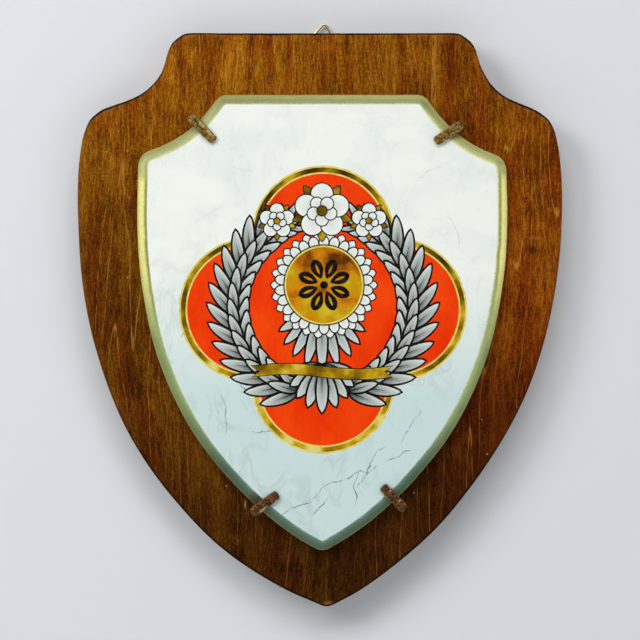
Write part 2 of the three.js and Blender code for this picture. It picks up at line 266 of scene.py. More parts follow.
def outline_of(node, level):
    """Corners of a CAD plate's outline at one depth, in turn round their middle, in millimetres."""
    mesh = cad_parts[node].data
    points = np.empty(len(mesh.vertices) * 3, np.float32)
    mesh.vertices.foreach_get("co", points)
    points = points.reshape(-1, 3).astype(float) / MM
    there = points[np.abs(points[:, 1] - level) < 0.003]
    flat = np.unique(there[:, [0, 2]].round(3), axis=0)
    apart = flat - (flat.max(0) + flat.min(0)) / 2
    return flat[np.argsort(np.arctan2(apart[:, 1], apart[:, 0]))]


def divided(corners, longest):
    """The same closed outline with each side cut into equal parts no longer than `longest`."""
    after = np.roll(corners, -1, axis=0)
    parts = np.ceil(np.linalg.norm(after - corners, axis=1) / longest).astype(int)
    side = np.repeat(np.arange(len(corners)), parts)
    share = (np.arange(parts.sum()) - np.repeat(np.cumsum(parts) - parts, parts)) / parts[side]
    return corners[side] + (after - corners)[side] * share[:, None]


def evenly(path, step, closed=True):
    """Points on a path at even steps of its length, by straight steps between its points."""
    path = np.vstack([path, path[:1]]) if closed else path
    along = np.concatenate([[0], np.cumsum(np.linalg.norm(np.diff(path, axis=0), axis=1))])
    count = max(2, round(along[-1] / step))
    wanted = np.linspace(0, along[-1], count, endpoint=not closed)
    return np.stack([np.interp(wanted, along, path[:, i]) for i in range(path.shape[1])], 1)


def smoothed(corners, step):
    """Closed centripetal Catmull-Rom curve through the corners, in even steps.

    The gap between two corners is the root of their distance. A corner's slope is the mean of the
    slopes on both sides less the slope across both, and each span is a cubic between two slopes.
    """
    before, after = np.roll(corners, 1, axis=0), np.roll(corners, -1, axis=0)
    gap_after = np.sqrt(np.linalg.norm(after - corners, axis=1))[:, None]
    gap_before = np.roll(gap_after, 1, axis=0)
    slope = ((corners - before) / gap_before - (after - before) / (gap_before + gap_after)
             + (after - corners) / gap_after)
    t = np.linspace(0, 1, 16, endpoint=False)[None, :, None]
    start, end = corners[:, None], after[:, None]
    rise, fall = (slope * gap_after)[:, None], (np.roll(slope, -1, axis=0) * gap_after)[:, None]
    curve = ((2 * t**3 - 3 * t**2 + 1) * start + (t**3 - 2 * t**2 + t) * rise
             + (3 * t**2 - 2 * t**3) * end + (t**3 - t**2) * fall)
    return evenly(curve.reshape(-1, 2), step)


def tangents(path):
    """Unit vectors along a closed path: at each point, from the one before it to the one after."""
    along = np.roll(path, -1, axis=0) - np.roll(path, 1, axis=0)
    return along / np.linalg.norm(along, axis=1)[:, None]


def outset(outline, distance):
    """Each point of a closed outline moved outwards, square to the line between its neighbours."""
    return outline + distance * tangents(outline)[:, ::-1] * [1, -1]


# Surfaces

def grid_faces(rows, columns, closed_rows=False):
    """Quads between neighbouring points of a grid whose columns meet round the piece."""
    here = np.arange(rows * columns).reshape(rows, columns)
    beside = np.roll(here, -1, axis=1)
    quads = np.stack([here, beside, np.roll(beside, -1, axis=0), np.roll(here, -1, axis=0)], -1)
    return quads[:rows if closed_rows else rows - 1].reshape(-1, 4)


def fan_faces(ring, pole):
    """Triangles between a closed ring of points and one point."""
    return np.stack([ring, np.roll(ring, -1), np.full(len(ring), pole)], 1)


def piece(name, points, faces, flat=(), sharp=None):
    """A closed mesh piece from points in millimetres, with its faces turned outwards.

    The faces are outwards where the sum of a . (b x c) over their fan triangles is positive. Edges
    that turn by more than `sharp` degrees are shaded sharp.
    """
    volume = 0
    for face in faces:
        a = points[face[:, 0]]
        for i in range(1, face.shape[1] - 1):
            volume += np.einsum("ij,ij->", a, np.cross(points[face[:, i]], points[face[:, i + 1]]))
    turned = [face if volume > 0 else face[:, ::-1] for face in faces]
    mesh = bpy.data.meshes.new(name)
    mesh.from_pydata((points * MM).tolist(), [], [corner for face in turned for corner in face.tolist()])
    smooth = np.concatenate([np.full(len(face), i not in flat) for i, face in enumerate(faces)])
    mesh.polygons.foreach_set("use_smooth", smooth)
    mesh.update()
    if sharp:
        mesh.set_sharp_from_angle(angle=math.radians(sharp))
    return placed(name, mesh)


def placed(name, data):
    """A new object of the scene, at the origin."""
    made = bpy.data.objects.new(name, data)
    bpy.context.scene.collection.objects.link(made)
    return made


def capped(grid):
    """Points and faces of a grid of rings closed at both ends by a fan to the end ring's middle."""
    rows, columns = grid.shape[:2]
    points = np.vstack([grid.reshape(-1, 3), grid[0].mean(0), grid[-1].mean(0)])
    ring, count = np.arange(columns), rows * columns
    bottom = fan_faces(ring, count)[:, [1, 0, 2]]
    return points, [grid_faces(rows, columns), bottom, fan_faces(count - columns + ring, count + 1)]


def carried(path, across, width, thickness, around, fullness, closed=False):
    """A rounded bar: at each point of the path, a rounded oblong square to it.

    A point of the oblong is half the width times the sign and the power `fullness` of cos a along
    `across`, and half the thickness times the same of sin a along the path's own normal.
    """
    slope = np.gradient(path, axis=0)
    along = tangents(path) if closed else slope / np.linalg.norm(slope, axis=1)[:, None]
    normal = np.cross(along, across)
    turn = towards(full_turn(around)).T
    wide, deep = np.sign(turn) * np.abs(turn) ** fullness
    half_width = np.broadcast_to(width, len(path))[:, None] / 2 * wide
    half_depth = np.broadcast_to(thickness, len(path))[:, None] / 2 * deep
    return path[:, None] + half_width[..., None] * across + half_depth[..., None] * normal[:, None]


def dented(grid, middle, dents, radius, depth):
    """Hammer marks: a point nearer to a dent than its radius r sinks by depth x (1 - (d / r)^2)."""
    apart = np.linalg.norm(grid[:, :, None] - dents, axis=3)
    sink = (depth * (1 - (apart / radius) ** 2).clip(0)).max(2)
    inwards = middle[:, None] - grid
    inwards /= np.maximum(np.linalg.norm(inwards, axis=2), 1e-6)[..., None]
    return grid + inwards * sink[..., None]


def hung(points):
    """Turns points of the hanger about Y by its lean, as it hangs a little out of true."""
    cos, sin = towards(math.radians(HANGER_LEAN))
    return points @ [[cos, 0, -sin], [0, 1, 0], [sin, 0, cos]]


def depth_of(node):
    """Back and front of a node, in millimetres along Y."""
    low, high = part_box(node)
    return high.y / MM, low.y / MM


def attribute(made, name, values):
    """Stores one number for each vertex of a piece."""
    stored = made.data.attributes.new(name, "FLOAT", "POINT").data
    stored.foreach_set("value", values.astype(np.float32).ravel())


# Wooden backboard

def backboard():
    """The board: rings of its outline, shrunk over each face and rounded over each edge.

    Over an edge the outline steps in by e (1 - sin a) and the depth by e (1 - cos a), e being the
    easing, which worn places make up to a third larger. On a face it shrinks towards the middle.
    Each ring has two weights, for the dark line along its edge and for the dust lying inside it.
    """
    back, front = depth_of("backboard")
    outline = smoothed(divided(outline_of("backboard", front + BOARD_EASING), BOARD_STRAIGHT), BOARD_STEP)
    middle = (outline.max(0) + outline.min(0)) / 2
    run = full_turn(len(outline))
    easing = BOARD_EASING * (1 + sum(size * np.sin(count * run + start) for size, count, start in WEAR))
    rings, rounded, dusted = [], [], []

    def level(plane, depth, edge=0, dust=0):
        """Adds one ring at a depth, with its two weights."""
        rings.append(np.column_stack([plane[:, 0], np.broadcast_to(depth, len(plane)), plane[:, 1]]))
        rounded.append(edge)
        dusted.append(dust)

    def eased(face, inwards, turn, edge):
        """Adds a ring at one turn over a face's edge."""
        level(outset(outline, -easing[:, None] * (1 - math.sin(turn))),
              face + inwards * easing * (1 - math.cos(turn)), edge)

    turns = np.linspace(0, np.pi / 2, 6)
    core = (outset(outline, -easing[:, None]) - middle) * BOARD_CORE
    outer, inner = (outset(outline, -easing[:, None] - width) for width in BOARD_BORDERS)
    shrink = (0.12, 0.35, 0.6, 0.8, 1)
    for share in shrink:
        level(middle + core * share, back)
    level(outer, back)
    for turn in turns:
        eased(back, -1, turn, math.sin(turn))
    for depth in (back - DARK_LINE, (back + front) / 2, front + DARK_LINE):
        level(outline, depth, 0.3)
    for turn in turns[::-1]:
        eased(front, 1, turn, min(1, 0.4 + 2 * math.sin(turn)))
    level(outer, front, dust=1)
    level(inner, front)
    for share in shrink[::-1]:
        level(middle + core * share, front)
    made = piece("stained_board", *capped(np.array(rings)), sharp=40)
    along = tangents(outline)
    end_grain = 1 - np.abs(along[:, 1]) ** 6
    ledge = np.clip(-along[:, 0], 0, 1) ** 2
    # The dark edge weight stands for end grain that took more stain and for painted shade on the rounding
    # that turns away
    for name, weights, part in (("worn_edge", rounded, 1 - end_grain), ("stained_and_shaded_edge", rounded, end_grain),
                                ("dusty_edge", dusted, ledge)):
        attribute(made, name, np.append(np.outer(weights, part), [0, 0]))
    return made


# Painted shapes: each has an outline, a finish and the frame of its brush stroke

def ring_of(middle, radius, count=72):
    """Circle: the middle plus the radius times (cos a, sin a)."""
    return middle + radius * towards(full_turn(count))


def quatrefoil(middle, spread, radius, count=40):
    """Four arcs of one radius, their middles `spread` from the middle of the figure.

    Neighbouring circles cross on the diagonal at p = (spread + root(2 r^2 - spread^2)) / 2.
    """
    cross = (spread + math.sqrt(2 * radius**2 - spread**2)) / 2
    half = math.atan2(cross, cross - spread)
    angle = np.linspace(-half, half, count, endpoint=False)
    lobe = [spread, 0] + radius * towards(angle)
    turns = full_turn(4)[:, None] + [0, np.pi / 2]
    return middle + (lobe @ towards(turns)).reshape(-1, 2)


def leaf_outline(base, heading, length, width, swell, tip, bend, count=13):
    """Leaf: at share t of its length the half width is W / 2 times sin(pi t^swell)^tip.

    The middle line leans aside by bend x length x t^2.
    """
    t = np.linspace(0, 1, count)
    half = width / 2 * np.sin(np.pi * t**swell).clip(0) ** tip
    aside = bend * length * t**2
    right = np.stack([length * t, aside - half], 1)
    left = np.stack([length * t, aside + half], 1)[-2:0:-1]
    return base + np.vstack([right, left]) @ towards(np.radians([heading, heading + 90]))


class Painting:
    """Shapes in the order they are painted; a later one covers what is under it."""

    def __init__(self):
        self.shapes = []

    def paint(self, outline, finish, base=(0, 0), heading=90, length=100, half_width=50):
        """Adds one shape. The stroke's frame gives the brush coordinates of its finish."""
        area = np.cross(outline, np.roll(outline, -1, axis=0)).sum()
        stroke = (*base, *towards(math.radians(heading)), length, half_width)
        self.shapes.append((outline if area > 0 else outline[::-1], finish, stroke))

    def leaf(self, base, heading, length, width, finish, swell=0.8, tip=0.75, bend=0, line=LINE, vein=0.6):
        """A leaf with an inked outline and a vein that thins out over part of its length."""
        self.paint(leaf_outline(base, heading, length, width, swell, tip, bend), "ink")
        start = base + line * towards(math.radians(heading))
        inside = leaf_outline(start, heading, length - 2.2 * line, width - 2 * line, swell, tip, bend)
        self.paint(inside, finish, base, heading, length, width / 2)
        if vein:
            rib = leaf_outline(base, heading, length * vein, LINE * 0.8, 0.5, 0.8, bend * vein, 7)
            self.paint(rib, "ink")


def vein(art, start, heading, length, seed):
    """A thin grey vein of the marbled glaze: a kinked line whose width swells and dies away."""
    chance = np.random.default_rng(seed)
    count = max(9, round(length / 1.6))
    kinks = chance.normal(0, VEIN_KINK, count)
    slow = np.arange(0, count, 4)
    sway = heading + np.interp(np.arange(count), slow, chance.normal(0, VEIN_SWAY, len(slow)))
    line = start + np.cumsum(towards(np.radians(sway + kinks)) * length / count, axis=0)
    swell = np.sin(np.pi * np.linspace(0, 1, count)) ** 0.5
    half = 0.24 * swell * (1 + 0.6 * np.abs(kinks) / VEIN_KINK) + 0.04
    side = towards(np.radians(sway + 90)) * half[:, None]
    art.paint(np.vstack([line - side, (line + side)[::-1]]), "grey_vein")


def rose(art, middle, radius, turn=90):
    """A heraldic rose: five sepals, five outer and five inner petals, and a gilt heart."""
    for k in range(5):
        way = turn + 36 + 72 * k
        art.leaf(middle, way, radius * 1.12, radius * 0.42, "gold_lustre", 1.3, 0.8, line=LINE * 0.8, vein=0)
    for reach, size, shift in ((0.58, 0.42, 0), (0.31, 0.25, 36)):
        for k in range(5):
            way = turn + 72 * k + shift
            petal = middle + towards(math.radians(way)) * radius * reach
            art.paint(ring_of(petal, radius * size, 36), "ink")
            art.paint(ring_of(petal, radius * size - LINE * 0.8, 36), "white_petal", middle, way,
                      radius * (reach + size), radius * size)
    art.paint(ring_of(middle, radius * 0.2, 30), "ink")
    art.paint(ring_of(middle, radius * 0.2 - LINE * 0.7, 30), "gold_lustre")


def branch(art, side):
    """A laurel branch on an arc round the panel: three rows of leaves, the lowest painted last."""
    for i, angle in enumerate(np.linspace(*LAUREL_ARC, LAUREL_ROWS)):
        base = PANEL + [0, 2] + LAUREL_RADIUS * towards(math.radians(angle)) * [side, 1]
        young = 1 - 0.3 * max(0, 1 - i / 3)
        for lean, length, width, bend in ((-40, 25, 8.6, 0.1), (38, 21, 7.8, -0.1), (0, 20, 7.6, 0)):
            heading = 90 + side * (angle + lean)
            art.leaf(base, heading, length * young, width * young, "grey_wash", 0.85, 0.6, bend * side,
                     BOLD_LINE)


def fan(art, base, headings, length, width):
    """Leaves spread downwards from one point, the middle ones longest and painted last."""
    for heading in sorted(headings, key=lambda h: -abs(h + 90)):
        share = abs(heading + 90) / 90
        art.leaf(base, heading, length * (1 - 0.35 * share), width * (1 - 0.15 * share), "grey_wash",
                 1.15, 0.55, line=BOLD_LINE)


def ribbon(art, middle, length, height):
    """A gilt ribbon: two wavy edges z = 1.6 sin(2 pi t) +- h / 2, with a notch cut in each end."""
    t = np.linspace(0, 1, 30)
    sway = 1.6 * np.sin(2 * np.pi * t)
    for grow, finish in ((LINE * 0.6, "ink"), (0, "gold_lustre")):
        x = (t - 0.5) * (length + 2 * grow)
        low, top = (np.stack([x, sway + side * (height / 2 + grow)], 1) for side in (-1, 1))
        notch = x[-1] - height * 0.8 + grow
        art.paint(middle + np.vstack([low, [notch, 0], top[::-1], [-notch, 0]]), finish)


def painted_design(ground):
    """A made-up device: a red quatrefoil, laurel branches, roses, a gilt disc and fans of leaves."""
    art = Painting()
    art.paint(ground, "white_glaze")
    for start, *run in VEINS:
        vein(art, PANEL + start, *run)
    for inset, finish in zip((0, *GOLD_BAND), ("gilt_line", "gold_lustre", "gilt_line", "red_enamel")):
        art.paint(quatrefoil(PANEL, PANEL_ARC, PANEL_ARC - inset), finish)
    for side in (-1, 1):
        branch(art, side)
    fan(art, PANEL + [-0.6, 2], np.linspace(-150, -30, 9), 40, 8.4)
    for shift, length in ((0, 12.5), (0.5, 10)):
        for k in range(PETALS):
            way = 360 / PETALS * (k + shift)
            root = DISC + PETAL_ROOT * towards(math.radians(way))
            art.leaf(root, way, length, 6.6, "white_petal", 1.2, 0.5, line=LINE * 0.8, vein=0)
    fan(art, PANEL + [-0.6, -32], np.linspace(-162, -18, 9), 31, 9)
    ribbon(art, PANEL + [-0.6, -37], 84, 6.2)
    for inset, finish in ((0, "ink"), (0.7, "gilt_line"), (1.7, "gold_disc")):
        art.paint(ring_of(DISC, DISC_RADIUS - inset), finish)
    for k in range(8):
        way = 45 * k + 22.5
        ahead = towards(math.radians(way))
        art.paint(leaf_outline(DISC + ahead * 4, way, 12.5, 7.2, 1.25, 0.6, 0, 17), "ink")
        art.paint(leaf_outline(DISC + ahead * 7, way, 6.5, 1.5, 1, 0.7, 0, 9), "gold_disc")
    art.paint(ring_of(DISC, 2.4, 30), "ink")
    for side in (-1, 1):
        rose(art, PANEL + [side * 27.5, 53], 11)
    rose(art, PANEL + [-0.6, 59], 17)
    return art.shapes


# Shield tile

def rim_fall(share):
    """Drop of the rim at a share of its width: nearly flat by the face, then rounding over."""
    return RIM_FALL * (0.28 * share + 0.5 * share**2.2 + 0.22 * share**6)


def shield_tile():
    """The tile in one closed mesh: rings over its rim, side and back, and its painted face.

    The face is cut along every painted outline, and each cut part takes the finish and the brush
    frame of the last shape painted over it. The rim is the face's outline moved outwards.
    """
    back, front = depth_of("shield_tile")
    outline = smoothed(divided(outline_of("shield_tile", front), TILE_STRAIGHT), TILE_STEP)
    middle = (outline.max(0) + outline.min(0)) / 2
    shapes, finishes, strokes = zip(*painted_design(outline))
    ends = np.cumsum([len(shape) for shape in shapes]).tolist()
    loops = [list(range(start, end)) for start, end in zip([0, *ends], ends)]
    cut = delaunay_2d_cdt([Vector(point) for point in np.vstack(shapes).tolist()], [], loops, 1, 1e-4)
    plane, owners = np.array([tuple(v) for v in cut[0]]), cut[5]
    inside = np.array([min(owner) == 0 for owner in owners])
    parts = np.array(cut[2])[inside]
    top = np.array([max(owner) for owner in owners])[inside]

    share = np.concatenate([np.linspace(0, 0.9, 9), [0.97, 1]])
    levels = [(RIM_WIDTH * s, front + rim_fall(s)) for s in share]
    levels += [(RIM_WIDTH, front + RIM_FALL + RIM_FOOT), (RIM_WIDTH, back - TILE_CHAMFER),
               (RIM_WIDTH - TILE_CHAMFER, back)]
    rings = [np.insert(outset(outline, grow), 1, depth, axis=1) for grow, depth in levels]
    pole = np.insert(middle, 1, back)
    grid = np.array([*rings, (rings[-1] + pole) / 2])
    rows, columns = grid.shape[:2]
    count = rows * columns
    points = np.vstack([grid.reshape(-1, 3), pole, np.insert(plane, 1, front, axis=1)])
    rim = grid_faces(rows, columns)
    under = fan_faces(np.arange(count - columns, count), count)
    made = piece("painted_shield_tile", points, [rim, under, (parts + count + 1)[:, ::-1]], flat=(1, 2))
    mesh = made.data

    names = ["rim_gilt", "bare_back", *dict.fromkeys(finishes)]
    bare = np.repeat(np.arange(rows) >= len(share), columns)
    slots = np.append(bare, np.array([names.index(finish) for finish in finishes])[top])
    mesh.polygons.foreach_set("material_index", slots.astype(np.int32))

    corner_point = np.empty(len(mesh.loops), np.int32)
    mesh.loops.foreach_get("vertex_index", corner_point)
    stroke = np.array(strokes)[np.append(np.zeros(rim.size + under.size, int), np.repeat(top, 3))]
    x, z = (points[corner_point][:, [0, 2]] - stroke[:, :2]).T
    ahead_x, ahead_z, length, half = stroke[:, 2:].T
    brush = np.stack([(z * ahead_x - x * ahead_z) / half, (x * ahead_x + z * ahead_z) / length], 1)
    across = np.append(share, np.ones(rows - len(share)))
    rim_point = corner_point[:rim.size]
    brush[:rim.size] = np.stack([across[rim_point // columns], rim_point % columns / columns], 1)
    mesh.uv_layers.new(name="brush").data.foreach_set("uv", brush.astype(np.float32).ravel())
    return made, names, outline


# Hook nails

def hook_nail(node, side, drop, heading, out, over, outline, seed):
    """A hammered hook: a bar over the rim, a quarter bend of its own radius, and a spike in the wood.

    It starts where the face's outline, read in straight steps, ends on that side at that height. The
    hammer has spread the bar, so it is up to a sixth broader than the stock it was made from.
    """
    half = outline[outline[:, 0] * side > 0]
    half = half[np.argsort(half[:, 1])]
    level = FACE_TOP - drop * FACE_HEIGHT
    start = [np.interp(level, half[:, 1], half[:, 0]), depth_of("shield_tile")[1], level]
    ahead, across = np.insert(towards(np.radians([heading, heading + 90])), 1, 0, axis=1)
    bar_depth = -GAP - HOOK_THICKNESS / 2
    spike = out - HOOK_THICKNESS / 2
    wood = TILE_THICKNESS + GAP
    arc = towards(np.linspace(-np.pi / 2, 0, 14))
    bend = [spike - HOOK_BEND, bar_depth + HOOK_BEND] + HOOK_BEND * arc
    flat = evenly(np.vstack([[-over, bar_depth], bend, [spike, wood + SPIKE_DEPTH]]), HOOK_STEP, closed=False)
    run = np.concatenate([[0], np.cumsum(np.linalg.norm(np.diff(flat, axis=0), axis=1))])
    bar = over + spike - HOOK_BEND
    turned = bar + HOOK_BEND * np.pi / 2
    marks = [0, 0.25, 0.9, over * 0.6, bar, bar + 2, turned, turned + 2, run[-1] - SPIKE_DEPTH / 2, run[-1]]
    width = HOOK_WIDTH * np.interp(run, marks, [0.52, 0.8, 1.04, 1.12, 1.16, 1.04, 0.66, 0.58, 0.5, 0.24])
    thick = HOOK_THICKNESS * np.interp(run, marks, [0.3, 0.5, 0.78, 0.92, 1, 1, 1, 0.92, 0.75, 0.4])
    path = start + flat[:, :1] * ahead + flat[:, 1:] * [0, 1, 0]
    grid = carried(path, across, width, thick, 40, 0.5)
    chance = np.random.default_rng(seed)
    struck = grid[run < turned + 4].reshape(-1, 3)
    dents = struck[chance.choice(len(struck), HOOK_DENTS, replace=False)]
    radius = chance.uniform(0.9, 1.9, HOOK_DENTS)
    grid = dented(grid, path, dents, radius, chance.uniform(0.12, 0.34, HOOK_DENTS))
    return piece("hammered_" + node, *capped(grid), sharp=60)


# Hanger

def wire_ring():
    """The hanging ring: round wire on a triangle of straights and three bends of one radius.

    At angle a round the wire the weight of its inner side, which carries painted shade, is sin a,
    and 0 on the outer side.
    """
    half = math.radians(RING_HALF_ANGLE)
    apex = np.array([0, WIRE_RADIUS - RING_BEND])
    run = RING_BEND / math.sin(half) + apex[1] + PIVOT_DROP
    foot = run * math.tan(half) - RING_BEND / math.tan((math.pi / 2 - half) / 2)
    arcs = (
        ((foot, RING_BEND - PIVOT_DROP), -math.pi / 2, half),
        (apex, half, math.pi - half),
        ((-foot, RING_BEND - PIVOT_DROP), math.pi - half, math.pi * 1.5),
    )
    bends = [middle + RING_BEND * towards(np.linspace(start, end, 24)) for middle, start, end in arcs]
    path = hung(np.insert(evenly(np.vstack(bends), WIRE_STEP), 1, 0, axis=1))
    grid = carried(path, [0, 1, 0], 2 * WIRE_RADIUS, 2 * WIRE_RADIUS, 20, 1, closed=True)
    rows, columns = grid.shape[:2]
    made = piece("wire_ring", grid.reshape(-1, 3), [grid_faces(rows, columns, True)])
    attribute(made, "shaded_inner_side", np.tile(np.sin(full_turn(columns)).clip(0), rows))
    return made


def strap():
    """The folded strap: sheet that runs up the board, round the ring's bar and down again."""
    end = -PIVOT_DROP - STRAP_LENGTH
    inner = -(EYE_MIDDLE - STRAP_SHEET - 0.02)
    eye = [0, -PIVOT_DROP] + EYE_MIDDLE * towards(np.linspace(math.pi, math.radians(-98), 40))
    line = np.vstack([[-EYE_MIDDLE, end], eye, [inner, -PIVOT_DROP - 2.4], [inner, end]])
    flat = evenly(line, STRAP_STEP, closed=False)
    near = np.stack([np.roll(flat, k, axis=0) for k in (-2, -1, 0, 1, 2)]).mean(0)
    flat[2:-2] = near[2:-2]
    run = np.arange(len(flat)) * STRAP_STEP
    edge = np.minimum(run, run[-1] - run).clip(0, STRAP_CORNER)
    width = STRAP_WIDTH - 2 * (STRAP_CORNER - np.sqrt(STRAP_CORNER**2 - (STRAP_CORNER - edge) ** 2))
    grid = carried(np.insert(flat, 0, 0, axis=1), [1, 0, 0], width, STRAP_SHEET, 24, 0.3)
    return piece("folded_strap", *capped(hung(grid)), sharp=50)


def round_nail(node, drop):
    """A round-headed nail: a profile of radius and depth turned about the nail's axis."""
    turn = np.linspace(0.02, np.pi / 2, 12)
    profile = np.vstack([
        [0.05, -NAIL_LENGTH], [NAIL_RADIUS, -NAIL_LENGTH + 1.6], [NAIL_RADIUS, -0.1],
        [NAIL_HEAD_RADIUS * 0.93, 0], towards(turn)[:-1] * [NAIL_HEAD_RADIUS, NAIL_HEAD_HEIGHT],
    ])
    base = 2 * STRAP_SHEET - (EYE_MIDDLE + STRAP_SHEET / 2) + GAP
    across, along = towards(full_turn(40)).T
    grid = np.stack([profile[:, :1] * across, np.repeat(profile[:, 1:] + base, 40, axis=1),
                     profile[:, :1] * along - PIVOT_DROP - drop], 2)
    return piece("round_" + node, *capped(hung(grid)), sharp=40)


# Finishes

def stained_wood(add, place):
    """Softwood board, sanded, brushed with walnut stain and thinly varnished.

    The eye sees upright fibres broken into short mottled streaks, some redder and some yellower,
    a few pale growth lines that fade before the edges, knots, flecks and a scratch, a darker left
    side and foot with a worn spot at the point, and edges that are black, partly where the saw cut
    across the grain and partly as painted shade on the rounding that turns away, with dust lying just
    inside them. The back took less stain and is duller.
    """
    shift = add("CombineXYZ", add("Math", noise(add, place, (70, 70, 130)), 20, operation="MULTIPLY"))
    bent = add("VectorMath", place, shift)
    mottle = noise(add, bent, (0.8, 0.8, 1.5), 1)
    streak = noise(add, bent, (1, 1, 9), 2, 0.6)
    band = noise(add, bent, (5.5, 5.5, 80), 1)
    patch = noise(add, place, (26, 26, 34))
    hue = noise(add, bent, (8, 8, 50))
    lines = add("Math", noise(add, bent, (24, 90, 600), 1, 0.4), 0.05, operation="PINGPONG")
    across, depth, height = add("SeparateXYZ", place, out=slice(3))
    worn, dark, dusty = (add("Attribute", attribute_name=name, out="Fac")
                         for name in ("worn_edge", "stained_and_shaded_edge", "dusty_edge"))

    grain = gathered(add, (mottle, 0.75), (streak, 1.05), (band, 0.5), (patch, 0.5))
    tone = add("ValToRGB", grain, stops=(
        (0.2, "#502802"), (0.38, "#743F03"), (0.5, "#884F04"), (0.62, "#9A6006"), (0.82, "#B2781C")))
    # Darker towards the foot, and unevenly darker from side to side
    low = add("Math", add("MapRange", height, -20, -150, 0.13, 0.44),
              add("MapRange", height, -150, -290, 0, 0.55))
    uneven = add("Math", add("MapRange", height, -30, -120, -0.16, 0.18),
                 add("MapRange", height, -170, -230, 0, -0.25))
    side = add("MapRange", across, 60, -60, -1, 1)
    darkened = add("Math", side, uneven, low, operation="MULTIPLY_ADD")
    tone = layered(
        add, tone,
        ("#F4CECE", add("MapRange", hue, 0.42, 0.7)),
        ("#757272", darkened),
        ("#FFC4D0", add("MapRange", across, 20, 120), add("MapRange", height, -90, -240, 0.35, 1)),
        way="MULTIPLY")

    foot = add("MapRange", height, -160, -280)
    tone = layered(
        add, tone,
        (layered(add, "#D69A3C", ("#B4762A", foot)),
         add("MapRange", lines, 0, 0.004, 1, 0), add("MapRange", streak, 0.3, 0.6),
         add("MapRange", foot, 0, 1, 0.48, 0.42),
         add("MapRange", add("Math", worn, dark), 0, 0.2, 1, 0)),
        *[(colour, near_spot(add, place, spot, size), strength) for spot, size, strength, colour in MARKS],
        ("#D0AA70", add("MapRange", specks(add, place, (13, 13, 16)), 0.02, 0.045, 0.55, 0)),
        (layered(add, "#54401F", ("#7A6234", add("MapRange", streak, 0.3, 0.7))),
         add("MapRange", depth, -5, -2.6, 0, 0.55)),
        ("#7C6440", dusty, add("MapRange", patch, 0.4, 0.6, 0, 0.45)),
        ("#7A3A14", worn, 0.25),
        # Black edges: partly end-grain stain, partly painted shade where the rounding turns away
        ("#0A0D0A", add("MapRange", dark, 0.1, 0.8, 0, 0.96)))
    fibres = gathered(add, (mottle, 0.5), (streak, 0.6))
    return tone, {
        "IOR": 1.5, "Specular IOR Level": 0.04,
        "Roughness": add("MapRange", patch, 0.3, 0.8, 0.45, 0.62),
        "Normal": add("Bump", Height=fibres, Distance=0.08 * MM, Strength=0.4),
    }


def clear_gloss(add, place, roughness=0.08):
    """Fired glaze: a hard shine with the slight waves of a melted surface, about 9 mm apart."""
    waves = add("Bump", Height=noise(add, place, 9), Distance=0.05 * MM, Strength=0.35)
    return {"IOR": 1.52, "Roughness": roughness, "Normal": waves}


def white_glaze(add, place):
    """White tin glaze over earthenware: faint clouds and smudges, painted shade that makes it darker and
    cooler towards the point, where soft grey seams and dark specks show."""
    height = add("SeparateXYZ", place, out=2)
    # Painted shade: towards the point the glaze turns darker and bluer
    low = add("MapRange", height, -150, -225)
    cloud = noise(add, place, (34, 34, 22), 3)
    smudge = noise(add, place, (9, 9, 5), 4, 0.65)
    marble = add("Math", noise(add, place, (26, 26, 44), 4, 0.6, 1.2), -0.5)
    seam = add("Math", marble, operation="ABSOLUTE")
    tone = layered(
        add, "#F0F4EC", ("#CBDFDD", low),
        ("#D3DFDA", add("MapRange", cloud, 0.45, 0.75, 0, 0.4)),
        ("#A9B9B6", add("MapRange", smudge, 0.64, 0.8, 0, 0.3)),
        ("#9DB0B4", add("MapRange", seam, 0, 0.05, 1, 0),
         add("MapRange", height, -110, -210, 0.1, 0.33), add("MapRange", cloud, 0.35, 0.6)),
        ("#4E585C", add("MapRange", specks(add, place, 26), 0.014, 0.026, 0.75, 0), low))
    return tone, clear_gloss(add, place)


def grey_vein(add, place):
    """A vein of thin grey-blue slip under the glaze, strong in places and lost in others. Its ground
    turns darker towards the point as painted shade, as the glaze does.
    """
    height = add("SeparateXYZ", place, out=2)
    patch = noise(add, place, 3.5, 3)
    # Painted shade: the vein's ground is darker towards the point
    tone = layered(
        add, "#E6ECE6", ("#BFD3D1", add("MapRange", height, -150, -225)),
        ("#7C8C92", add("MapRange", patch, 0.36, 0.6), add("MapRange", height, -130, -215, 0.18, 1)))
    return tone, clear_gloss(add, place)


def red_enamel(add, place):
    """Orange-red overglaze enamel laid in upright brush strokes, thinner where the brush lifted."""
    broad, fine = noise(add, place, (16, 16, 30), 1), noise(add, place, (2, 2, 5))
    strokes = gathered(add, (broad, 1), (fine, 0.35))
    tone = layered(add, "#E62E03", ("#F4480A", add("MapRange", strokes, 0.25, 0.75)))
    return tone, {"Specular IOR Level": 0.2, **clear_gloss(add, place, 0.12)}


def gold_lustre(add, place, seat, spread, stops):
    """Bright liquid gold fired on the glaze, brown where it is thick and yellow where it is thin, and
    its pale end partly painted reflection.

    Streaks of the brush and broad pools move along the run of colours, the pools partly as painted
    reflection, and so does the height, as painted reflection, from `spread` above the level `seat` to
    `spread` below it, darker above and paler below.
    """
    streak = noise(add, place, (3.2, 3.2, 2.2), 1.5)
    pool = noise(add, place, 15, 1)
    # Painted reflection: the height term makes the gold darker above and paler below
    height = add("MapRange", add("SeparateXYZ", place, out=2), seat + spread, seat - spread)
    film = gathered(add, (streak, 0.3), (pool, 1.6), (height, 0.35))
    return add("ValToRGB", film, stops=stops), {
        "Metallic": 0.3, "Roughness": 0.2,
        "Normal": add("Bump", Height=pool, Distance=0.4 * MM, Strength=0.4),
    }


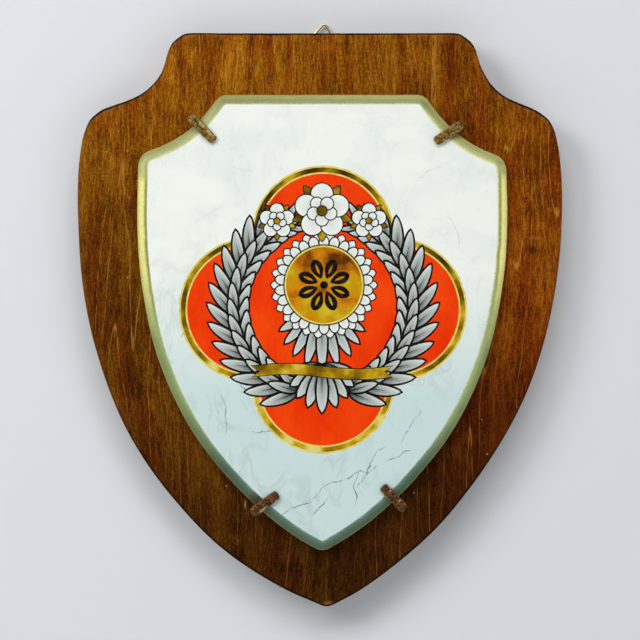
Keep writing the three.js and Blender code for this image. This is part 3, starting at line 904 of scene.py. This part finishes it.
def gilt_line(add, place):
    """The pale edge of the gold, where the film is thin and matt."""
    streak = noise(add, place, 3, 3)
    tone = layered(add, "#D6BE48", ("#F4E67E", add("MapRange", streak, 0.3, 0.7)))
    return tone, {"Metallic": 0.1, "Roughness": 0.3}


def ink(add, place):
    """Black ceramic ink, a little uneven in its strength."""
    thin = noise(add, place, 2.5)
    tone = layered(add, "#0C0B0A", ("#2A2823", add("MapRange", thin, 0.4, 0.8)))
    return tone, {"Specular IOR Level": 0.2, **clear_gloss(add, place, 0.16)}


def wash(add, place, pale, grey, dark, strength):
    """Grey ink washed along a leaf: darkest at its root and beside its vein, white at its edge.

    The brush's hairs lie a ninth of half the leaf's width apart.
    """
    brush = add("UVMap", uv_map="brush")
    across, along = add("SeparateXYZ", brush, out=slice(2))
    hairs = noise(add, brush, (1 / 9, 1 / 1.6, 1), 3)
    body = add("MapRange", add("Math", across, operation="ABSOLUTE"), 0.15, 0.9, 1, 0.25)
    root = add("MapRange", along, 0.3, 1, 1, 0.15)
    amount = add("Math", body, root, add("MapRange", hairs, 0.4, 0.75, -0.2, 0.35), operation="MULTIPLY_ADD")
    tone = layered(
        add, pale, (grey, add("MapRange", amount, 0, 0.9, 0, strength)),
        (dark, add("MapRange", along, 0.05, 0.45, 1, 0), 0.85))
    return tone, clear_gloss(add, place, 0.1)


def rim_gilt(add, place):
    """Thin gold wiped over the glazed rim, its colours largely painted light and reflection: olive
    beside the face and pale yellow outside.

    The top and the shoulders are duller and mottled with grey-green. The sides are pale yellow as
    painted light, and towards the point the rim turns green and then dark teal as painted shade and
    reflection, palest along the face. Beside the lower left hook is a dark brown patch.
    """
    across = add("SeparateXYZ", add("UVMap", uv_map="brush"))
    aside, _, height = add("SeparateXYZ", place, out=slice(3))
    mottle = noise(add, place, 1.4, 3, 0.6)
    pool = noise(add, place, 10)
    wander = gathered(add, (across, 1), (pool, 0.22), (mottle, 0.3))
    shifted = add("Math", wander, add("MapRange", aside, -60, 60, 0.09, -0.06))
    waver = gathered(add, (height, 1), (pool, 26))
    crown = add("ValToRGB", wander, stops=(
        (0, "#C4C494"), (0.15, "#8A8E5C"), (0.42, "#76794A"), (0.62, "#929456"), (0.85, "#B6B064"),
        (1, "#9A924E")))
    shoulder = add("ValToRGB", wander, stops=(
        (0, "#E2E2A0"), (0.12, "#D0D08A"), (0.28, "#ACAE72"), (0.6, "#9C9E66"), (0.86, "#AEAC68"),
        (1, "#CCB870")))
    sides = add("ValToRGB", shifted, stops=(
        (0.02, "#E8E8BC"), (0.1, "#B2B466"), (0.26, "#8F9648"), (0.36, "#D2CE78"), (0.5, "#FFFAA2"),
        (0.85, "#FFFAA0"), (1, "#EEE284")))
    green = add("ValToRGB", wander, stops=(
        (0, "#D4E0B4"), (0.12, "#B0BC84"), (0.4, "#96A868"), (0.7, "#8A9E64"), (0.9, "#9CA468"),
        (1, "#A8A46C")))
    teal = add("ValToRGB", wander, stops=(
        (0, "#9CB8A8"), (0.12, "#668270"), (0.4, "#4F6C5C"), (0.65, "#48644E"), (0.86, "#506446"),
        (0.97, "#8A8C5C"), (1, "#7C8058")))
    # Painted light and reflection: pale yellow sides, then green and dark teal towards the point
    tone = layered(
        add, crown,
        (shoulder, add("MapRange", height, -47, -58)), (sides, add("MapRange", waver, -84, -98)),
        (green, add("MapRange", waver, -142, -198)), (teal, add("MapRange", waver, -222, -268)))
    # Part of the painted light on the rim: the left half a little darker
    tone = layered(add, tone, ("#ECEBE8", add("MapRange", aside, 0, -60)), way="MULTIPLY")
    tone = layered(
        add, tone, ("#3E2A10", near_spot(add, place, (-40.6, -285.6), (6.4, 5.2)), 0.9),
        ("#6E7C50", add("MapRange", mottle, 0.5, 0.75, 0, 0.3)))
    return tone, {"Metallic": 0.1, "Specular IOR Level": 0.35, "Roughness": 0.38,
            "Normal": add("Bump", Height=mottle, Distance=0.05 * MM, Strength=0.3)}


def bare_back(add, place):
    """Unglazed pale earthenware with a sandy tooth."""
    sand, cloud = noise(add, place, 1.2, 3), noise(add, place, 22, 3)
    tone = layered(add, "#C9BDA4", ("#DDD3BE", add("MapRange", cloud, 0.3, 0.7)))
    return tone, {"Roughness": 0.85,
            "Normal": add("Bump", Height=sand, Distance=0.15 * MM, Strength=0.5)}


def hammered_bronze(add, place):
    """Brown patinated bronze, hammered: olive-brown with rosy places, dark in its hollows, and pale on
    its ridges and ends, partly rubbed bright and partly a painted highlight."""
    patina = noise(add, place, 1.3, 4, 0.6)
    rubbed = add("MapRange", patina, 0.4, 0.62)
    height = add("MapRange", add("SeparateXYZ", place, out=2), -60, -250)
    tint = gathered(add, (height, 0.6), (noise(add, place, 6, 1), 1.4))
    # Pale ridges and ends: partly rubbed bright, partly painted highlight
    ridge = add("NewGeometry", out="Pointiness")
    tone = layered(
        add, "#34270C", ("#A08040", rubbed),
        (layered(add, "#2A1808", ("#785030", rubbed)), add("MapRange", tint, 0.3, 0.65)),
        ("#D0B07A", add("MapRange", ridge, 0.51, 0.58, 0, 0.6)),
        ("#221808", add("MapRange", ridge, 0.5, 0.46, 0, 0.8)))
    return tone, {"Metallic": 0.35, "Specular IOR Level": 0.15,
            "Roughness": add("MapRange", patina, 0.3, 0.7, 0.34, 0.56),
            "Normal": add("Bump", Height=patina, Distance=0.25 * MM, Strength=0.9)}


def brass(add, place, bright, dull, roughness):
    """Drawn or pressed brass, dulled brown where it tarnished, with painted shade nearly black inside
    the ring.
    """
    tarnish = noise(add, place, 4, 4, 0.6)
    # Painted shade: the ring's inner side is darkened nearly to black
    inside = add("Attribute", attribute_name="shaded_inner_side", out="Fac")
    tone = layered(
        add, bright, (dull, add("MapRange", tarnish, 0.4, 0.7)),
        ("#1E221A", add("MapRange", inside, 0.15, 0.6, 0, 0.9)))
    drawn = add("Bump", Height=noise(add, place, (0.6, 0.6, 5)), Distance=0.03 * MM, Strength=0.4)
    return tone, {"Metallic": 1, "Normal": drawn,
            "Roughness": add("MapRange", tarnish, 0.3, 0.7, roughness, roughness + 0.2)}


# Dressing

def dress(made, body, slot, nodes, *finishes):
    """Gives a piece its finishes and its body, and hides the CAD nodes it stands for. The slot is not used.
    """
    for finish in finishes:
        made.data.materials.append(finish)
    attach(made, body)
    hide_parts(*nodes)


dress(backboard(), "plaque", "stained_wood", ["backboard"], finished(stained_wood))

tile, finish_names, face_outline = shield_tile()
# Runs of colour for the gold and the disc; their pale ends partly stand for painted reflection
lustre_tones = ((0.1, "#4A3202"), (0.34, "#7E6006"), (0.5, "#B48A0A"), (0.66, "#E4BC1C"), (0.85, "#FFF08C"))
disc_tones = ((0.12, "#6E3602"), (0.32, "#C87404"), (0.48, "#F09A08"), (0.62, "#DCA808"), (0.85, "#EFD02A"))
tile_finishes = {made.name: made for made in (
    *map(finished, (rim_gilt, bare_back, white_glaze, gilt_line, grey_vein, red_enamel, ink)),
    finished(gold_lustre, PANEL[1], PANEL_REACH, lustre_tones),
    finished(gold_lustre, DISC[1], DISC_RADIUS, disc_tones, name="gold_disc"),
    finished(wash, "#DCE1DC", "#7A8480", "#23282A", 0.95, name="grey_wash"),
    finished(wash, "#F2F5EE", "#C6CCC6", "#5C6566", 0.7, name="white_petal"),
)}
dress(tile, "plaque", "glazed_tile", ["shield_tile"], *[tile_finishes[name] for name in finish_names])

bronze = finished(hammered_bronze)
for seed, hook in enumerate(HOOKS, HOOK_SEED):
    dress(hook_nail(*hook, face_outline, seed), "plaque", "hammered_bronze", [hook[0]], bronze)

ring_brass = finished(brass, "#F0E2AC", "#A88C4C", 0.3, name="ring_brass")
sheet_brass = finished(brass, "#C9A653", "#7E6430", 0.34, name="sheet_brass")
dress(wire_ring(), "hanging_ring", "brass", ["hanging_ring"], ring_brass)
dress(strap(), "plaque", "brass", ["hanger_strap"], sheet_brass)
for nail, nail_drop in STRAP_NAIL_DROPS.items():
    dress(round_nail(nail, nail_drop), "plaque", "brass", [nail], ring_brass)


# Studio

def stage_plane(name, points, tint, see_through_back=False):
    """A flat part of the studio, in metres, in one matt colour."""
    mesh = bpy.data.meshes.new(name)
    mesh.from_pydata(points, [], [tuple(range(len(points)))])
    made = placed(name, mesh)
    material, tree, shader = new_material(name)
    filled(tree, shader, {"Base Color": tint, "Roughness": 0.9})
    if see_through_back:
        clear = added(tree, "BsdfTransparent")
        behind = added(tree, "NewGeometry", out="Backfacing")
        mixed = added(tree, "MixShader", behind, shader.outputs[0], clear)
        filled(tree, tree.nodes["Material Output"], {"Surface": mixed})
    mesh.materials.append(material)
    return made


def lamp(name, place, width, height, power):
    """A soft rectangular lamp facing the plaque, in metres and watts."""
    data = bpy.data.lights.new(name, "AREA")
    data.shape = "RECTANGLE"
    data.size, data.size_y, data.energy = width, height, power
    made = placed(name, data)
    made.location = place
    made.rotation_euler = (Vector(centre) - Vector(place)).to_track_quat("-Z", "Y").to_euler()
    made.visible_camera = False


# Metres: the wall's front just behind the board, and the floor's height
WALL_PLANE = 0.0022
FLOOR = -0.9
wall_corners = [(-3, WALL_PLANE, FLOOR), (3, WALL_PLANE, FLOOR), (3, WALL_PLANE, 3), (-3, WALL_PLANE, 3)]
wall = stage_plane("pale_wall", wall_corners, "#D9DCE0", see_through_back=True)
wall.visible_diffuse = wall.visible_glossy = wall.visible_transmission = wall.visible_shadow = False
stage_plane("pale_floor", [(-4, -4, FLOOR), (4, -4, FLOOR), (4, 4, FLOOR), (-4, 4, FLOOR)], "#E4E4E2")

centre = (-0.0027, -0.02, BOARD_TOP * MM - 0.1722)
lamp("overhead_card", (0, -1.7, 1.5), 1.8, 1, 26)
lamp("key_left", (-1.3, -1.25, 0.7), 0.8, 0.8, 17)
lamp("fill_right", (1.5, -1.6, -0.2), 1, 1, 4)
lamp("back_left", (-1, 1.6, 0.7), 1.2, 1.2, 22)
lamp("back_right", (1.2, 1.4, 0.1), 1, 1, 12)

world = bpy.data.worlds.new("studio")
world.use_nodes = True
sky = world.node_tree
bpy.context.scene.world = world
add_sky = partial(added, sky)
up = add_sky("MapRange", add_sky("SeparateXYZ", add_sky("TexCoord", out="Generated"), out=2), -0.5, 0.9)
dim = add_sky("ValToRGB", up, stops=((0, "#5E5A55"), (0.34, "#6A6660"), (0.4, "#A9ABAC"), (1, "#DDE3EA")))
seen = add_sky("LightPath", out="Is Camera Ray")
filled(sky, sky.nodes["Background"], {"Color": layered(add_sky, dim, ("#F0F2F4", seen)), "Strength": 0.45})
bpy.context.scene.view_settings.view_transform = "Standard"

camera_data = bpy.data.cameras.new("camera")
camera_data.lens = 148.1
camera = placed("camera", camera_data)
camera.location = (centre[0], -1.6, centre[2])
camera.rotation_euler = (math.pi / 2, 0, 0)
bpy.context.scene.camera = camera

bpy.context.view_layer.update()
